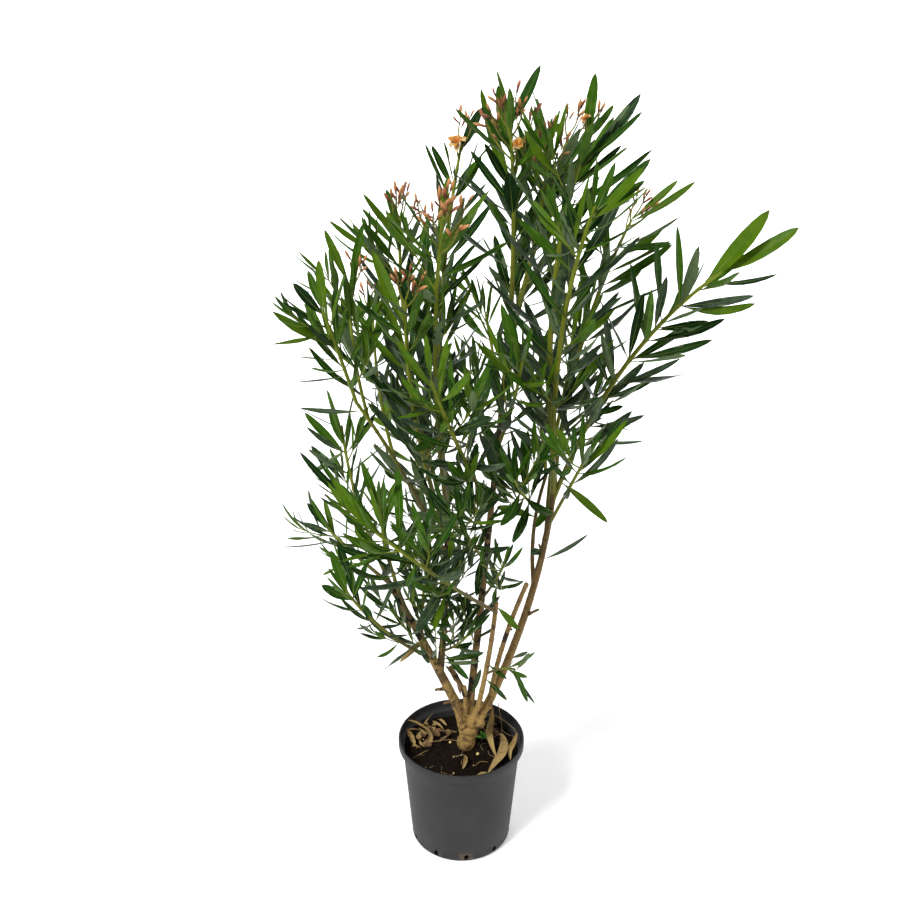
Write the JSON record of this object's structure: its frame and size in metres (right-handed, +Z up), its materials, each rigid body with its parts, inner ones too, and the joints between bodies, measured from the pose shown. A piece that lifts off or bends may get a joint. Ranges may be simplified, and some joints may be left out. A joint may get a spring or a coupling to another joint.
{
  "type": "potted oleander",
  "caption": "Oleander shrub in a plain round grower's pot: a knuckled root crown, bare leaning stems below, and a loose crown of narrow leaves with buds and faded flowers at its tips.",
  "frame": {"origin": "centre of the pot's flat underside, where it stands", "axes": "+Z up along the plant, +X to the side of the long reaching shoot, -Y to the front"},
  "size_m": [0.8889, 0.6675, 1.5377],
  "materials": {
    "pot_plastic": "dark grey moulded plastic, slightly dull",
    "damp_soil": "damp dark crumbly compost",
    "tan_bark": "dry tan bark with furrows and flakes",
    "brown_bark": "mottled brown bark, dull and lightly furrowed",
    "green_bark": "smooth yellow-green young bark",
    "leaf_green": "leathery leaves, low sheen, with salmon buds and faded yellow flowers",
    "blossom": "matt salmon buds and pale yellow faded petals",
    "dry_leaf": "dry curled leaves, matt tan"
  },
  "bodies": {
    "root": {"back_centre": "leaf_green", "back_left": "leaf_green", "back_low": "leaf_green", "back_right": "leaf_green", "central_stem": "brown_bark", "centre_front": "leaf_green", "centre_left": "leaf_green", "centre_thin": "brown_bark", "centre_twig": "leaf_green", "foot_left": "leaf_green", "foot_right": "leaf_green", "front_low": "leaf_green", "inner_right": "brown_bark", "inner_twig": "leaf_green", "leader_back": "leaf_green", "leader_front": "leaf_green", "left_back": "leaf_green", "left_bough": "green_bark", "left_brace": "brown_bark", "left_front": "leaf_green", "left_high": "leaf_green", "left_middle": "leaf_green", "left_rear": "leaf_green", "left_side": "leaf_green", "left_stem": "brown_bark", "left_tip": "leaf_green", "left_upright": "brown_bark", "low_centre": "leaf_green", "low_front": "leaf_green", "low_inner": "leaf_green", "low_left": "leaf_green", "low_twig": "leaf_green", "middle_front": "leaf_green", "pot": "pot_plastic", "right_back": "leaf_green", "right_front": "leaf_green", "right_high": "leaf_green", "right_low": "leaf_green", "right_reach": "leaf_green", "right_stem": "brown_bark", "right_twin": "brown_bark", "root_crown": "tan_bark", "soil": "damp_soil", "top": "leaf_green", "top_middle": "leaf_green", "top_right": "leaf_green", "twin_front": "leaf_green", "twin_tip": "leaf_green"}
  },
  "joints": []
}
